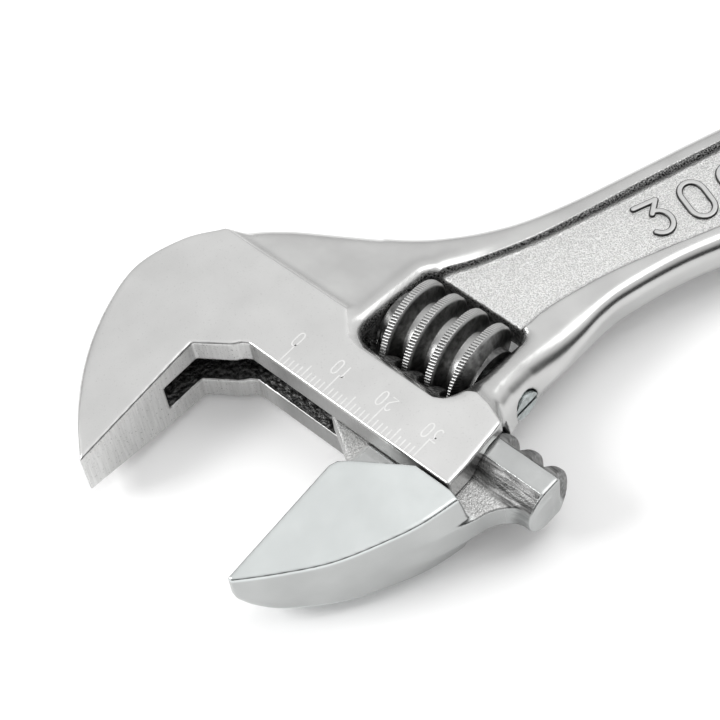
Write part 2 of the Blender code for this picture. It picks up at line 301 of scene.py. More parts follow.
# The head's flat ground face; it runs past the outline on the mouth's side.
GROUND = [(0.0, 60.0), (0.0, 10.0), (-45.0, 0.0), (-45.0, -45.0), (15.3, -45.0), (15.3, -15.0),
          (15.5, 0.0), (15.6, 8.2), (13.2, 10.6), (11.6, 12.2), (10.9, 15.0), (10.9, 20.0), (11.1, 31.5),
          (12.2, 33.2), (15.2, 34.2), (16.3, 36.6), (15.8, 39.4), (14.3, 43.4), (12.0, 48.0)]
SHOULDER_RISE = 3.1            # the forging's extra height at the head
GROUND_STEP = 2.6              # width of the step from the ground face to the forging


def window_distance(u, v):
    """Signed distance to the worm window, negative inside it."""
    return box_distance(u, v, WINDOW_U, WINDOW_V, WINDOW_CORNER)


def body_height(u, v, x, y, edge):
    """Height over the mid plane without the rounded edges; distances to the ground face and the panel."""
    ground_distance = outline_distance(u, v, GROUND)
    panel = outline_distance(u, v, panel_outline())
    around = np.minimum(panel, window_distance(u, v))
    shoulder = HANDLE_HALF + SHOULDER_RISE * ease(1.0 - (u - 13.0) / 27.0)
    near_window = ease((44.0 - x) / 18.0) * ease((32.0 - v) / 8.0)
    bead = 0.45 * near_window * np.exp(-((around - 2.2) / 1.6) ** 2)
    step = np.clip(1.0 - ground_distance / GROUND_STEP, 0.0, 1.0) ** 2
    top = HALF_HEAD - TAPER * both(FACE_ROOT - u, np.zeros_like(u), 6.0)
    near_pin = ease((50.0 - x) / 16.0)
    crown = 2.7 + 2.0 * near_pin
    drop = (0.38 + 0.26 * near_pin) * np.clip(crown + edge, 0.0, crown) ** 2 / (2.0 * crown)
    drop *= ease(-(y + 2.0) / 4.0) * ease(ground_distance / 2.5)
    forged = shoulder + bead - drop + (HALF_HEAD - shoulder - bead) * step
    height = np.where(ground_distance < 0.0, top, forged)
    wall = PANEL_FLOOR + 3.0 * both(panel + 0.45, np.zeros_like(u), 0.4)
    return either(height, wall, 0.35), ground_distance, panel


def body_solid(u, v, heights):
    """Signed field of the whole forging over grid columns; far columns stay outside."""
    outline = body_outline()
    edge = outline_distance(u, v, outline)
    field = np.full((len(u), len(heights)), 1.0, np.float32)
    near = edge < 1.0
    u, v, edge = u[near], v[near], edge[near]
    x, y = to_row(u, v)
    height, ground, _ = body_height(u, v, x, y, edge)
    # The outer edges: sharp at the ground face, round along the forging, and drafted on the lower side.
    lower = ease((2.0 - y) / 6.0)
    rounding = 0.5 + (3.4 - 1.3 * lower) * ease(ground / 3.0)
    rounding += 1.0 * ease((6.0 - u) / 20.0) * ease((-12.0 - v) / 6.0)
    draft = 0.28 * lower * ease((44.0 - x) / 12.0) * ease(ground / 2.0)
    # The window's lip is widest beside the ground neck and at the end near the pin.
    window = window_distance(u, v)
    lip = 0.8 + 1.6 * ease((20.0 - u) / 4.0) * ease((v - 13.0) / 3.0) + 0.8 * ease((15.0 - v) / 2.0)
    lip += 2.6 * ease((v - 31.5) / 3.0) * ease((u - 16.0) / 4.0) * ease((36.0 - u) / 4.0)
    columns = (u, v, x, y, edge, height, rounding, draft, window, lip)
    u, v, x, y, edge, height, rounding, draft, window, lip = (part[:, None] for part in columns)
    z = heights[None, :]
    solid = both(z - height, edge + draft * z, rounding)
    solid = both(solid, -window, lip)
    relief = smooth([(-14.2, FIXED_FACE + 1), (-13.6, -8.6), (-11.0, -12.0), (-6.5, -15.9),
                     (0.0, SLOT_DEPTH)], 4)
    slot_plan = [(BORE_U, 60.0), (-20.0, 60.0), (-20.0, FIXED_FACE + 1), *relief, (BORE_U, SLOT_DEPTH)]
    slot = np.maximum(outline_distance(u, v, slot_plan), z - SLOT_HALF)
    bore = np.maximum(np.hypot(u - BORE_U, z) - BORE_RADIUS, SLOT_DEPTH - v)
    solid = both(solid, -np.minimum(slot, bore), 0.3)
    pin = np.maximum(np.hypot(u - WORM_U, z) - PIN_BORE, 3.1 - v)
    pin_head = np.maximum(np.hypot(u - WORM_U, z) - PIN_HEAD_BORE, PIN_HEAD_START - v)
    solid = both(solid, -np.minimum(pin, pin_head), 0.3)
    hole = HOLE_RADIUS - np.hypot(x - EYE_X, y)
    field[near] = both(solid, hole, 1.6)
    return field


def body_masks(points):
    """Where the surface is ground, blasted, rough, cut (milled), on the neck, or an inner wall; painted
    shade darkens the window's lip, the neck face and the inner walls.
    """
    u, v, z = points.T
    depth = np.abs(z)
    x, y = to_row(u, v)
    edge = outline_distance(u, v, body_outline())
    height, ground, panel = body_height(u, v, x, y, edge)
    window = window_distance(u, v)
    below = ease((height - depth) / 0.5)
    grinding = ease(1.0 - (ground + 0.1) / 0.3) * (1.0 - ease((height - depth - 0.1) / 0.2))
    blast = ease(1.0 - (panel + 0.5) / 0.3) * (depth > 2.0)
    wall = band(panel, -0.35, 0.3 + 0.5 * ease((x - 40.0) / 30.0), 0.3)
    wall *= (depth > PANEL_FLOOR) * ease((y + 3.0) / 2.0)
    # Painted shade: the window's lip is painted dark where it turns down into the window, and so is its
    # corner next to the pin; the wall's dark speckle is rough texture.
    lip = ease(1.0 - (window - 0.5) / 0.6) * ease((height - depth - 0.12) / 0.5)
    lip *= 1.0 - ease((v - 33.0) / 1.0) * ease((u - 17.0) / 2.0) * ease((31.5 - u) / 1.0)
    rough = np.maximum(wall, lip) * (window > -1.0)
    mouth = ease(1.0 - (u - 0.4) / 0.2) * ease((v + 8.2) / 0.2) * below
    mouth = np.maximum(mouth, ease(1.0 - (np.abs(v + 7.9) / 0.4)) * (u < -5.0) * below)
    # Painted shade: the slot's inner walls and the window's well are painted near black, darker the deeper
    # they lie.
    slot = ease((-0.25 - edge) / 0.3) * ease((3.5 - depth) / 0.2)
    slot *= (u < BORE_U + 6.2) * (v > SLOT_DEPTH - 0.5)
    window_well_shade = ease((0.5 - window) / 0.3) * ease((height - 1.2 - depth) / 1.2)
    # Painted shade: the neck face is painted darker than the gripping faces, more so towards the movable
    # jaw.
    neck = mouth * ease((v - 2.0) / 6.0)
    return {"ground": grinding, "blast": blast, "rough": rough, "cut": mouth, "neck": neck,
            "inner": np.maximum(slot, window_well_shade)}


def make_body():
    fine = VOXEL
    coarse = 1.5 * VOXEL
    end_u, end_v = (part + EYE_RADIUS + 2.0 for part in to_head(EYE_X, 0.0))
    us = np.concatenate([np.arange(-36.0, 48.0, fine), np.arange(48.0, end_u, coarse)])
    vs = np.concatenate([np.arange(-30.0, 50.0, fine), np.arange(50.0, end_v, coarse)])
    heights = even_heights(HALF_HEAD + 0.3, VOXEL)
    axes = [us.astype(np.float32), vs.astype(np.float32), heights]
    body = solid_object("body_forging", body_solid, axes, body_masks)
    body.data.materials.append(body_material())
    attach(body, "frame")
    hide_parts("wrench_body")


# ---- scale and size figures ----
SCALE_START = 6.6              # v of the scale's zero
SCALE_LENGTH = 30
TICK_LENGTHS = (4.3, 1.75, 1.75, 1.75, 1.75, 2.8, 1.75, 1.75, 1.75, 1.75)
TICK_WIDTH = 0.26
FIGURE_U = 5.8
FIGURE_HEIGHT = 2.6
FIGURE_WIDTH = 1.5
ETCH_HEIGHT = 0.012
SIZE_PLACES = ((65.2, 0.1), (73.4, 0.0), (81.4, 0.0))
SIZE_HEIGHT = 8.4
SIZE_WIDTH = 6.2
SIZE_STROKE = 0.62             # half the width of a raised stroke
SIZE_RISE = 0.42


def figure_stroke(figure):
    """A figure's centre line in a box from (-0.5, -0.5) to (0.5, 0.5), x to the right and y up."""
    if figure == "0":
        return arc((0.0, 0.22), 0.36, 0, 180, 13) + arc((0.0, -0.22), 0.36, 180, 360, 13) + [(0.36, 0.22)]
    if figure == "1":
        return [(-0.2, 0.3), (0.1, 0.5), (0.1, -0.5)]
    if figure == "2":
        return arc((0.0, 0.2), 0.36, 160, -40, 14) + [(-0.4, -0.5), (0.42, -0.5)]
    return [(-0.44, 0.48), (0.28, 0.48), (-0.06, 0.12)] + arc((0.0, -0.18), 0.36, 90, -140, 16)


def stroke_distance(x, y, points):
    """Distance of plan points to an open line."""
    nearest = np.full(x.shape, 1e9, np.float32)
    for (ax, ay), (bx, by) in zip(points, points[1:]):
        ex, ey = bx - ax, by - ay
        t = np.clip(((x - ax) * ex + (y - ay) * ey) / max(ex * ex + ey * ey, 1e-9), 0.0, 1.0)
        nearest = np.minimum(nearest, np.hypot(x - ax - ex * t, y - ay - ey * t))
    return nearest


def ribbon(points, width):
    """Flat quads along a plan line."""
    line = np.array(points, float)
    way = np.gradient(line, axis=0)
    way /= np.maximum(np.hypot(way[:, 0], way[:, 1]), 1e-9)[:, None]
    side = np.stack([-way[:, 1], way[:, 0]], axis=1) * width / 2
    corners = np.concatenate([line - side, line + side])
    index = np.arange(len(line) - 1)
    return corners, np.stack([index, index + 1, index + 1 + len(line), index + len(line)], axis=1)


def make_scale():
    """The millimetre scale etched along the neck."""
    parts = []
    for step in range(SCALE_LENGTH + 1):
        v = SCALE_START + step
        parts.append(ribbon([(0.45, v), (0.45 + TICK_LENGTHS[step % 10], v)], TICK_WIDTH))
    for step in range(0, SCALE_LENGTH + 1, 10):
        text = str(step)
        for place, figure in enumerate(text):
            middle = SCALE_START + step - 0.4 - (place - (len(text) - 1) / 2) * (FIGURE_WIDTH + 0.5)
            line = [(FIGURE_U - y * FIGURE_HEIGHT, middle - x * FIGURE_WIDTH)
                    for x, y in figure_stroke(figure)]
            parts.append(ribbon(line, TICK_WIDTH))
    points, faces, count = [], [], 0
    for corners, quads in parts:
        points.append(corners)
        faces.append(quads + count)
        count += len(corners)
    plan = np.concatenate(points)
    points = np.column_stack([plan, np.full(len(plan), HALF_HEAD + ETCH_HEIGHT)])
    scale = mesh_object("etched_scale", head_to_row(points), np.concatenate(faces))
    scale.data.materials.append(mark_material("etched_chrome", 0.8, 0.5))
    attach(scale, "frame")
    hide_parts("wrench_body")


def make_size_figures():
    """The size in millimetres, raised on the handle's panel."""
    step = 0.1
    heights = np.arange(PANEL_FLOOR - 0.3, PANEL_FLOOR + 0.8, step).astype(np.float32)
    for number, (figure, (x0, y0)) in enumerate(zip("300", SIZE_PLACES)):
        xs = np.arange(x0 - 4.5, x0 + 4.5, step).astype(np.float32)
        ys = np.arange(y0 - 5.5, y0 + 5.5, step).astype(np.float32)
        x, y = np.meshgrid(xs, ys, indexing="ij")
        tall = SIZE_HEIGHT - 2 * SIZE_STROKE
        line = [(x0 + px * SIZE_WIDTH, y0 + py * tall) for px, py in figure_stroke(figure)]
        away = stroke_distance(x, y, line)[:, :, None]
        field = both(away - SIZE_STROKE, heights[None, None, :] - PANEL_FLOOR - SIZE_RISE, 0.35)
        points, faces = surface_nets(field.astype(np.float32), [xs, ys, heights])
        points[:, 2] += HALF_HEAD
        away = stroke_distance(points[:, 0], points[:, 1], line)
        # Painted shade: the steep sides of the raised strokes are painted dark.
        masks = {"rim": ease((away - SIZE_STROKE + 0.3) / 0.14)}
        raised = mesh_object(f"size_figure_{number}", points, faces, masks)
        raised.data.materials.append(mark_material("raised_chrome", 0.6, 0.3))
        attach(raised, "frame")
        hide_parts("wrench_body")


# ---- movable jaw ----
JAW_EDGE = -0.4                # u of the jaw's side that faces the neck
NECK_CLEARANCE = 0.2


def jaw_solid(u, v, heights):
    """The jaw, its web and its guide bar, without the rack."""
    z = heights[None, :]
    back = smooth([(JAW_EDGE - 0.6, 47.4), (-7.6, 45.8), (-13.4, 43.3), (-21.3, 38.8), (-27.9, 33.2),
                   (TIP, 27.6)])
    plan = [(TIP, MOVING_FACE), (-9.0, MOVING_FACE), (-7.6, 27.3), (-6.3, 28.9), (JAW_EDGE, 37.9),
            (JAW_EDGE, 45.4), *back]
    jaw_edge = outline_distance(u, v, plan)[:, None]
    gusset = smooth([(0.6, WEB_START), (-1.6, 21.4), (-3.6, 24.6), (-6.0, 27.2), (-10.5, 29.5)])
    heel = smooth([(-9.0, 45.2), (-5.0, 47.2), (-2.0, 49.0), (0.4, 49.9), (2.1, 50.4), (3.9, 51.4),
                   (5.8, 53.2), (7.1, 54.8), (7.7, BAR_END)])
    web_plan = [*gusset, *heel, (BORE_U, BAR_END), (BORE_U, WEB_START)]
    web_edge = outline_distance(u, v, web_plan)[:, None]
    u, v = u[:, None], v[:, None]
    half = HALF_HEAD - TAPER * both(FACE_ROOT - u, np.zeros_like(u), 6.0)
    # The jaw's back leans out to the web's heel at its root, and out to the underside towards its tip.
    near_heel = ease((u + 15.0) / 12.0) * ease((v - 38.0) / 5.0)
    jaw_edge = jaw_edge - 0.27 * near_heel * (half - np.maximum(np.abs(z), WEB_HALF))
    near_tip = ease((v - 26.8) / 2.5) * ease((2.0 - u) / 34.0)
    jaw_edge = jaw_edge - 0.075 * near_tip * (half - z)
    rounding_below = 0.9 + 1.0 * ease((u + 22.0) / 18.0)
    jaw = both(np.abs(z) - half, jaw_edge, np.where(z > 0.0, 0.5, rounding_below))
    web = both(np.abs(z) - WEB_HALF, web_edge, 0.4)
    bar = both(np.hypot(u - BORE_U, z) - BAR_RADIUS, np.abs(z) - BAR_FLAT, 0.3)
    bar = both(bar, np.abs(v - (WEB_START + BAR_END) / 2) - (BAR_END - WEB_START) / 2, 0.6)
    solid = either(either(jaw, web, 0.8), bar, 0.8)
    neck_space = np.maximum(np.maximum(JAW_EDGE - u, u - 5.0), WEB_HALF + NECK_CLEARANCE - np.abs(z))
    return np.maximum(solid, -neck_space)


def jaw_full_solid(u, v, heights):
    """The jaw with its rack, whose teeth lean with the worm's lead."""
    half = jaw_solid(u, v, heights)
    u, v, z = u[:, None], v[:, None], heights[None, :]
    lead = PITCH / (math.pi * (WORM_RADIUS + WORM_ROOT))
    offset = v - WORM_CREST + z * lead
    offset = np.abs((offset + PITCH / 2) % PITCH - PITCH / 2)
    gap = both(offset - TOOTH_GAP - (u - TOOTH_ROOT) * TOOTH_SLOPE, TOOTH_ROOT - u, 0.6)
    worn_tip = 0.707 * (TIP - u - z - 2.9)
    return both(both(half, -gap, 0.4), worn_tip, 2.4)


def jaw_masks(points):
    """Where the jaw is left as forged, cut (milled) or polished on its side, and its rack and bar; its
    side, rack and bar are painted darker as shade.
    """
    u, v, z = points.T
    forged = ease((u + 0.2) / 0.5) * ease((v - WEB_START + 1.0) / 0.2) * (np.abs(z) < BAR_FLAT - 0.1)
    forged = np.maximum(forged, ease((MOVING_FACE - 0.1 - v) / 0.2)) * ease((BAR_END - 0.25 - v) / 0.2)
    heel_side = ease((WEB_HALF - 0.1 - np.abs(z)) / 0.3) * ease((v - 44.0) / 0.5) * ease((7.0 - u) / 2.5)
    forged *= 1.0 - heel_side
    face = ease(1.0 - (v - MOVING_FACE) / 0.3)
    neck = ease((u + 0.55) / 0.1) * (np.abs(z) > WEB_HALF + 0.9) * (u < 0.2)
    top = HALF_HEAD - TAPER * np.maximum(FACE_ROOT - u, 0.0)
    # Painted shade: the jaw's polished side is painted darker than its top.
    side = ease((top - 0.5 - np.abs(z)) / 0.5) * (1.0 - forged)
    # Painted shade: the rack, under the window, is painted nearly black.
    rack = ease((u - 12.6) / 0.5) * ease((38.0 - v) / 2.0)
    # Painted shade: the guide bar's sides are painted dark, also inside the window.
    bar = ease((u - 4.6) / 1.0)
    return {"forged": forged, "cut": np.maximum(face, neck), "side": side, "rack": rack, "bar": bar}


def make_jaw():
    step = VOXEL * 0.8
    heights = even_heights(HALF_HEAD + 0.3, step)
    axes = [np.arange(-35.0, 18.5, step), np.arange(16.5, 58.5, step), heights]
    axes = [part.astype(np.float32) for part in axes]
    grid_u, grid_v = np.meshgrid(axes[0], axes[1], indexing="ij")
    field = jaw_full_solid(grid_u.ravel(), grid_v.ravel(), axes[2])
    points, faces = surface_nets(field.reshape([len(part) for part in axes]), axes)
    jaw = mesh_object("jaw_forging", head_to_row(points), faces, jaw_masks(points))
    jaw.data.materials.append(jaw_material())
    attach(jaw, "jaw")
    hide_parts("movable_jaw")


# ---- worm ----
KNURL_TEETH = 100
KNURL_BAND = (-0.80, 0.45)     # the knurled rim, along the axis from the thread's middle
RIM_CHAMFER = 0.78             # end of the plain chamfer beside it
THREAD_BASE = (-1.35, 1.7)     # where the flanks meet the core


def worm_surface(turn, v):
    """Radius, crest mask and groove mask of the worm; turn goes from the rack's side over the top. The
    crest mask is 0 on the flanks and ends, which are painted dark as shade; the groove mask paints the
    knurl's grooves and a shadow line along the rim's edge.
    """
    offset = (v - (WORM_CREST - turn * PITCH) + PITCH / 2) % PITCH - PITCH / 2
    left = (offset - THREAD_BASE[0]) / (KNURL_BAND[0] - THREAD_BASE[0])
    right = (THREAD_BASE[1] - offset) / (THREAD_BASE[1] - RIM_CHAMFER)
    rim = WORM_RADIUS - 0.35 * np.clip((offset - KNURL_BAND[1]) / (RIM_CHAMFER - KNURL_BAND[1]), 0.0, 1.0)
    flank = np.clip(np.minimum(left, right), 0.0, 1.0)
    knurled = band(offset, *KNURL_BAND, 0.1)
    groove = knurled * (1.0 - np.abs(np.sin(math.pi * KNURL_TEETH * (turn - 0.004 * offset)))) ** 1.3
    # Painted shadow: a thin dark line along the knurled rim's edge, where the rim hides the flank.
    edge = band(offset, KNURL_BAND[0] - 0.16, KNURL_BAND[0], 0.08)
    radius = WORM_ROOT + (rim - WORM_ROOT) * flank - 0.18 * groove
    end = np.minimum(v - WORM_ENDS[0], WORM_ENDS[1] - v)
    radius = np.minimum(radius, WORM_ROOT + np.maximum(0.0, end - 0.6) * 2.5)
    # Painted shade: the flanks between the threads and the worm's chamfered ends are painted dark.
    dark = band(offset, RIM_CHAMFER, THREAD_BASE[1], 0.15)
    dark = np.maximum(dark, 1.0 - ease((end - 1.7) / 0.3))
    return radius, 1.0 - dark, np.maximum(groove, 0.8 * edge)


def make_worm():
    columns = KNURL_TEETH * 8
    low, high = WORM_ENDS
    rows = 260
    turns = np.arange(columns) / columns
    heights = np.linspace(low, high, rows)
    radius, shine, groove = worm_surface(*np.meshgrid(turns, heights))
    bore = PIN_RADIUS + 0.3
    pocket = bore + 1.2
    inner = ((high, bore + 0.4), (high - 0.4, bore), (low + 6.0, bore), (low + 6.0, pocket), (low, pocket))
    heights = np.concatenate([heights, [v for v, _ in inner]])
    radius = np.concatenate([radius, [np.full(columns, ring) for _, ring in inner]])
    plain = np.zeros((len(inner), columns))
    angle = math.pi - 2.0 * math.pi * turns
    points = np.stack([WORM_U + radius * np.cos(angle), np.repeat(heights[:, None], columns, axis=1),
                       radius * np.sin(angle)], axis=2).reshape(-1, 3)
    index = np.arange(columns)
    after = (index + 1) % columns
    faces = []
    for ring in range(len(heights)):
        here, there = ring * columns, (ring + 1) % len(heights) * columns
        faces.append(np.stack([here + index, here + after, there + after, there + index], axis=1))
    masks = {"crest": np.concatenate([shine, plain]).ravel(),
             "knurl_shade": np.concatenate([groove, plain]).ravel()}
    worm = mesh_object("worm_knurled", head_to_row(points), np.concatenate(faces), masks)
    worm.data.set_sharp_from_angle(angle=math.radians(60))
    worm.data.materials.append(worm_material())
    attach(worm, "worm")
    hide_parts("worm")


# ---- materials ----
class Shade:
    """A Principled material and short calls to add the nodes behind it."""

    def __init__(self, name, colour, roughness, metallic=1.0):
        self.material = bpy.data.materials.new(name)
        self.material.use_nodes = True
        self.tree = self.material.node_tree
        self.shader = self.tree.nodes["Principled BSDF"]
        self.shader.inputs["Base Color"].default_value = (*colour, 1.0)
        self.shader.inputs["Roughness"].default_value = roughness
        self.shader.inputs["Metallic"].default_value = metallic
        self.place = self.tree.nodes.new("ShaderNodeTexCoord").outputs["Object"]

    def set(self, socket, value):
        """Links a socket to the input, or sets a plain value on it."""
        if isinstance(value, bpy.types.NodeSocket):
            self.tree.links.new(value, socket)
        else:
            socket.default_value = value

    def math(self, operation, a, b=0.0, c=0.0, clamp=False):
        node = self.tree.nodes.new("ShaderNodeMath")
        node.operation = operation
        node.use_clamp = clamp
        for socket, value in zip(node.inputs, (a, b, c)):
            self.set(socket, value)
        return node.outputs[0]

    def mix(self, factor, low, high):
        """Colours or sockets from low to high as factor goes from 0 to 1."""
        node = self.tree.nodes.new("ShaderNodeMix")
        node.data_type = "RGBA"
        self.set(node.inputs[0], factor)
        for socket, value in zip(node.inputs[6:8], (low, high)):
            self.set(socket, (*value, 1.0) if isinstance(value, tuple) else value)
        return node.outputs[2]

    def mask(self, name):
        node = self.tree.nodes.new("ShaderNodeAttribute")
        node.attribute_name = name
        return node.outputs["Fac"]

    def stretched(self, scale, angle=0.0):
        """Object coordinates in metres, turned about Z and scaled along each axis."""
        node = self.tree.nodes.new("ShaderNodeMapping")
        node.inputs["Scale"].default_value = scale
        turn = self.tree.nodes.new("ShaderNodeVectorRotate")
        turn.rotation_type = "Z_AXIS"
        turn.inputs["Angle"].default_value = angle
        self.set(turn.inputs["Vector"], self.place)
        self.set(node.inputs["Vector"], turn.outputs[0])
        return node.outputs[0]

    def noise(self, size, detail=2.0, vector=None, low=0.0, high=1.0):
        """Noise with features of about size metres; low..high of its range becomes 0..1."""
        node = self.tree.nodes.new("ShaderNodeTexNoise")
        node.inputs["Scale"].default_value = 1.0 / size
        node.inputs["Detail"].default_value = detail
        self.set(node.inputs["Vector"], vector or self.place)
        if (low, high) == (0.0, 1.0):
            return node.outputs["Fac"]
        return self.math("MULTIPLY_ADD", node.outputs["Fac"], 1.0 / (high - low), -low / (high - low), True)

    def bump(self, *layers):
        """Bump from (height, metres) layers."""
        total = 0.0
        for height, metres in layers:
            total = self.math("MULTIPLY_ADD", height, metres, total)
        node = self.tree.nodes.new("ShaderNodeBump")
        node.inputs["Distance"].default_value = 1.0
        self.set(node.inputs["Height"], total)
        self.set(self.shader.inputs["Normal"], node.outputs[0])

    def colour(self, value):
        self.set(self.shader.inputs["Base Color"], value)

    def roughness(self, value):
        self.set(self.shader.inputs["Roughness"], value)


def grey(value, tint=0.0):
    """A near-neutral colour; tint above 0 is cooler and greener."""
    return (value * (1.0 - 0.10 * tint), value, value * (1.0 - 0.01 * (1.0 - tint)))


def body_material():
    shade = Shade("body_satin_chrome", grey(0.62), 0.3)
    names = ("ground", "blast", "rough", "cut", "inner")
    ground, blast, rough, cut, inner = (shade.mask(name) for name in names)
    cloud = shade.noise(0.009, 3.0, low=0.3, high=0.7)
    grain = shade.noise(0.00024, 2.0, low=0.3, high=0.7)
    pits = shade.noise(0.00035, 3.0, low=0.62, high=0.72)
    brush = shade.noise(0.0004, 3.0, shade.stretched((1.0, 0.06, 1.0), math.radians(40)))
    mill = shade.noise(0.00035, 2.0, shade.stretched((1.0, 1.0, 0.05)))
    # Mottle of the painted shade on the inner walls, also a bump there.
    shade_mottle = shade.noise(0.0009, 5.0, low=0.35, high=0.65)
    speckle = shade.noise(0.0003, 3.0, low=0.4, high=0.62)
    chrome = shade.mix(cloud, grey(0.53), grey(0.61))
    flat = shade.mix(cloud, grey(0.61), grey(0.67))
    flat = shade.mix(shade.math("MULTIPLY", pits, 0.25), flat, grey(0.35))
    sand = shade.mix(shade.noise(0.00024, 2.0, low=0.33, high=0.63), grey(0.47), grey(0.82))
    milled = shade.mix(mill, grey(0.48), grey(0.76))
    milled = shade.mix(shade.math("MULTIPLY", pits, 0.7), milled, grey(0.08))
    # Painted shade: the inner walls are painted near black.
    dark = shade.mix(shade_mottle, grey(0.04), grey(0.26))
    colour = shade.mix(ground, chrome, flat)
    colour = shade.mix(blast, colour, sand)
    # The rough wall is dark speckled texture; on the window's lip the same dark is painted shade.
    colour = shade.mix(rough, colour, shade.mix(speckle, grey(0.015), grey(0.34)))
    # Painted shade: the neck face is painted darker than the milled gripping faces.
    milled = shade.mix(shade.math("MULTIPLY", shade.mask("neck"), 0.75), milled, grey(0.22))
    colour = shade.mix(cut, colour, milled)
    shade.colour(shade.mix(inner, colour, dark))
    matte = shade.math("MULTIPLY_ADD", ground, 0.07, 0.24)
    for mask, more in ((blast, 0.11), (rough, 0.2), (cut, 0.12), (inner, 0.25)):
        matte = shade.math("MULTIPLY_ADD", mask, more, matte)
    shade.roughness(matte)
    shade.bump((shade.math("MULTIPLY", blast, grain), 0.00008),
               (shade.math("MULTIPLY", ground, brush), 0.000004),
               (shade.math("MULTIPLY", cut, mill), 0.00002),
               (shade.math("MULTIPLY", rough, speckle), 0.0001),
               (shade.math("MULTIPLY", inner, shade_mottle), 0.0002),
               (cloud, 0.00003))
    return shade.material


def mark_material(name, value, roughness):
    """The etched scale, or the raised figures of the handle, whose rims are painted dark as shade."""
    shade = Shade(name, grey(value), roughness)
    blotch = shade.noise(0.0005, 3.0, low=0.3, high=0.7)
    face = shade.mix(blotch, grey(value * 0.92), grey(value))
    # Painted shade on the rims of the raised figures.
    shade.colour(shade.mix(shade.mask("rim"), face, grey(0.05)))
    shade.bump((shade.noise(0.00018, 2.0), 0.00001))
    return shade.material


def jaw_material():
    shade = Shade("jaw_satin_chrome", grey(0.64), 0.3)
    forged, cut, side = shade.mask("forged"), shade.mask("cut"), shade.mask("side")
    cloud = shade.noise(0.008, 3.0, low=0.3, high=0.7)
    mill = shade.noise(0.0003, 2.0, shade.stretched((1.0, 1.0, 0.08)))
    # Mottle of the rack's painted shade.
    shade_mottle = shade.noise(0.0004, 4.0, low=0.36, high=0.62)
    grain = shade.noise(0.0003, 3.0)
    polished = shade.mix(cloud, grey(0.67, 0.4), grey(0.73, 0.4))
    # Painted shade: the polished side is painted darker than the top.
    polished = shade.mix(side, polished, shade.mix(cloud, grey(0.44, 0.2), grey(0.5, 0.2)))
    along_bar = shade.stretched((1.0, 0.1, 1.0), -HEAD_ANGLE)
    streak = shade.noise(0.0004, 3.0, along_bar, low=0.35, high=0.65)
    forging = shade.mix(shade.noise(0.00025, 3.0, low=0.36, high=0.62), grey(0.36), grey(0.66))
    # Painted shade: the guide bar is painted dark grey; the rest of the forging keeps its grain.
    forging_and_bar_shade = shade.mix(shade.mask("bar"), forging,
                              shade.mix(streak, grey(0.09), grey(0.34)))
    milled = shade.mix(mill, grey(0.36), grey(0.56))
    colour = shade.mix(forged, shade.mix(cut, polished, milled), forging_and_bar_shade)
    # Painted shade: the rack is painted nearly black.
    shade.colour(shade.mix(shade.mask("rack"), colour, shade.mix(shade_mottle, grey(0.03), grey(0.16))))
    rough = shade.math("MULTIPLY_ADD", forged, 0.16, 0.27)
    shade.roughness(shade.math("MULTIPLY_ADD", cut, 0.08, rough))
    shade.bump((shade.math("MULTIPLY", forged, grain), 0.00012),
               (shade.math("MULTIPLY", cut, mill), 0.00001),
               (cloud, 0.00003))
    return shade.material


def worm_material():
    shade = Shade("worm_dark_steel", grey(0.4), 0.33)
    crest, knurl_shade = shade.mask("crest"), shade.mask("knurl_shade")
    turned = shade.noise(0.00025, 2.0)
    # Mottle of the flanks' painted shade, also a bump.
    shade_mottle = shade.noise(0.0012, 4.0, low=0.35, high=0.7)
    # Painted shade: the flanks are painted dark; the crests keep the turned steel's colour.
    flank = shade.mix(shade_mottle, grey(0.08), grey(0.24))
    bright = shade.mix(turned, grey(0.38), grey(0.56))
    colour = shade.mix(crest, flank, bright)
    # Painted shade: the knurl's grooves and the rim's edge line are painted nearly black.
    shade.colour(shade.mix(knurl_shade, colour, grey(0.03)))
    shade.roughness(shade.math("MULTIPLY_ADD", crest, 0.02, 0.38))
    shade.bump((turned, 0.00001), (shade_mottle, 0.00002))
    return shade.material


def finish_cad_nodes():
    """Materials of the CAD pieces that stay as they are."""
    pin = Shade("zinc_plated_pin", grey(0.6, 0.8), 0.28)
    stain = pin.noise(0.0008, 4.0, low=0.35, high=0.7)
    pin.colour(pin.mix(stain, grey(0.62, 0.9), grey(0.36, 0.6)))
    pin.bump((pin.noise(0.0003, 3.0), 0.00002))
    spring = Shade("spring_steel_wire", grey(0.35), 0.35)
    spring.colour(spring.mix(spring.noise(0.0005, 2.0), grey(0.25), grey(0.42)))
    for name, shade in (("worm_pin", pin), ("worm_spring", spring)):
        piece = bpy.data.objects[name]
        piece.data.materials.clear()
        piece.data.materials.append(shade.material)


# ---- stage ----
CAMERA_TARGET = Vector((6.8, 0.3, HALF_HEAD)) * MM
CAMERA_AZIMUTH = math.radians(17.58)
CAMERA_ELEVATION = math.radians(55.34)
CAMERA_ROLL = math.radians(9.6)
CAMERA_DISTANCE = 0.3452
CAMERA_LENS = 100.0

FLOOR_SIZE = 3.0                    # metres
FLOOR_GAP = 0.05                    # below the worm's crests, on which the wrench lies
FLOOR_GLOW = 0.1
WORLD_STRENGTH = 1.02
BRIGHTER_RIGHT = 0.32
FRONT = (-0.302, -0.953, 0.0)       # level, from the wrench to the studio's darker side
FRONT_SHARE = (-0.25, 0.45)         # how far towards FRONT the back wall gives way to the front wall
# Walls of the studio: (sine of the elevation, brightness).
BACK_WALL = ((0.0, 0.5), (0.2, 0.68), (0.5, 0.84), (0.82, 0.9), (0.9, 1.0), (1.0, 1.0))
FRONT_WALL = ((0.0, 0.02), (0.42, 0.02), (0.52, 0.38), (0.7, 0.7), (0.9, 0.86), (1.0, 1.0))


